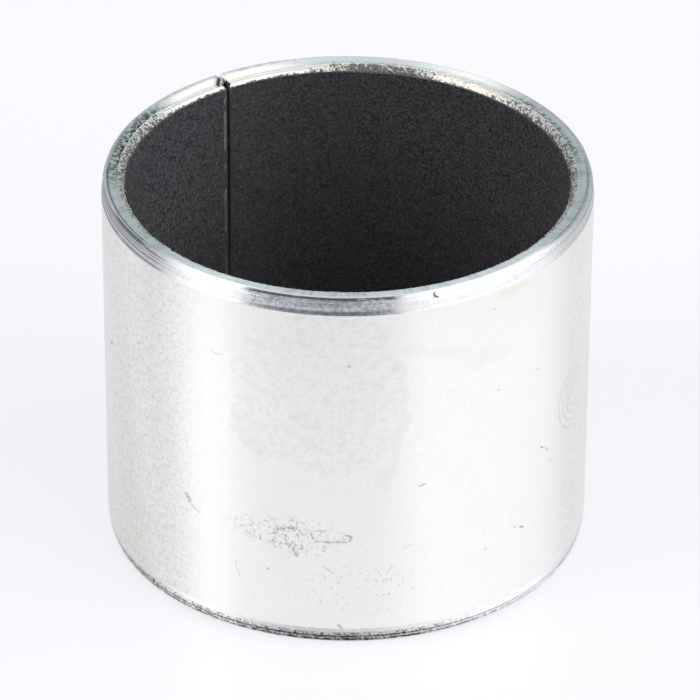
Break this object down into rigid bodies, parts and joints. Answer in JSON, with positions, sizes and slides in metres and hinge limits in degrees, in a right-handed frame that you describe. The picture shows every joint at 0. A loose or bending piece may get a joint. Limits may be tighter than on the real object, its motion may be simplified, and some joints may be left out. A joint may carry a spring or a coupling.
{
  "type": "shock absorber bushing",
  "caption": "Plain wrapped sliding bush with a butt joint, steel outside, sintered bronze between and a dark sliding skin in the bore, chamfered at each end.",
  "frame": {"origin": "on the bush's axis, at its lower end face", "axes": "+Z along the bore axis, towards the upper end; the butt joint lies at 123.8 degrees from +X about +Z"},
  "size_m": [0.02, 0.02, 0.0162],
  "materials": {
    "tinned_steel": "satin",
    "sintered_bronze": "matte",
    "sliding_skin": "matte"
  },
  "bodies": {
    "root": {"steel_backing": "tinned_steel", "bronze_interlayer": "sintered_bronze", "sliding_liner": "sliding_skin"}
  },
  "joints": []
}
